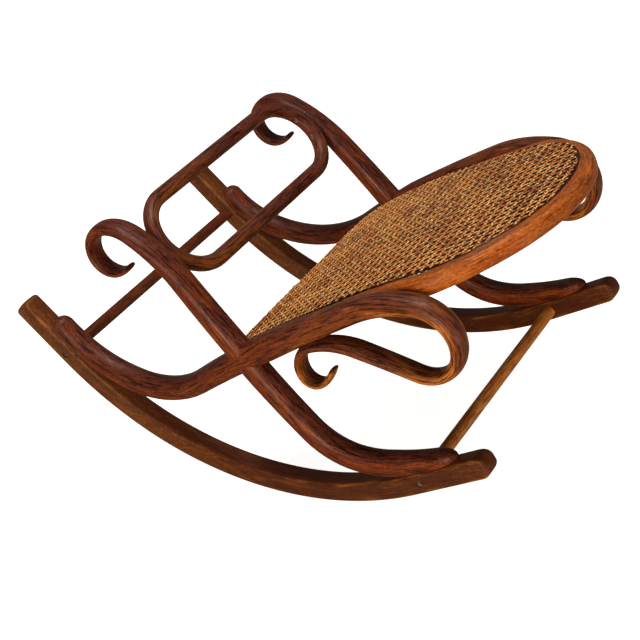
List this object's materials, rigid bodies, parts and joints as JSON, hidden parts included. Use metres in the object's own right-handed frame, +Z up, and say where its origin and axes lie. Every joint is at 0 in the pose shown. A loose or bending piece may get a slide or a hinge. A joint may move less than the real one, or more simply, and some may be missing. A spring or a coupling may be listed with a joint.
{
  "type": "rocking footstool",
  "caption": "Bentwood rocking footstool: curved runners carry crossed scrolled side frames, an oval foot ring and a bowed, sloping caned seat for the legs.",
  "frame": {"origin": "on the floor, under the middle of the stool's length and width", "axes": "+X towards the high knee end of the seat, +Y from the left side frame to the right, +Z up"},
  "size_m": [0.6398, 0.401, 0.405],
  "materials": {
    "runner_wood": "satin varnish, worn along the edges",
    "scroll_wood": "dark satin varnish, worn along the edges",
    "stretcher_wood": "satin varnish",
    "hoop_wood": "satin varnish, worn along the edges",
    "cane": "woven rattan cane, aged",
    "screw_steel": "dull, aged"
  },
  "bodies": {
    "root": {"runner_left": "runner_wood", "runner_right": "runner_wood", "seat_scroll_left": "scroll_wood", "seat_scroll_right": "scroll_wood", "foot_scroll_left": "scroll_wood", "foot_scroll_right": "scroll_wood", "foot_stretcher": "stretcher_wood", "knee_stretcher": "stretcher_wood", "foot_ring": "scroll_wood", "seat_hoop": "hoop_wood", "cane_panel": "cane", "stretcher_screws_left": "screw_steel", "stretcher_screws_right": "screw_steel", "runner_screws_left": "screw_steel", "runner_screws_right": "screw_steel", "crossing_screw_left": "screw_steel", "crossing_screw_right": "screw_steel", "hoop_screws_left": "screw_steel", "hoop_screws_right": "screw_steel", "ring_screws_left": "screw_steel", "ring_screws_right": "screw_steel"}
  },
  "joints": []
}
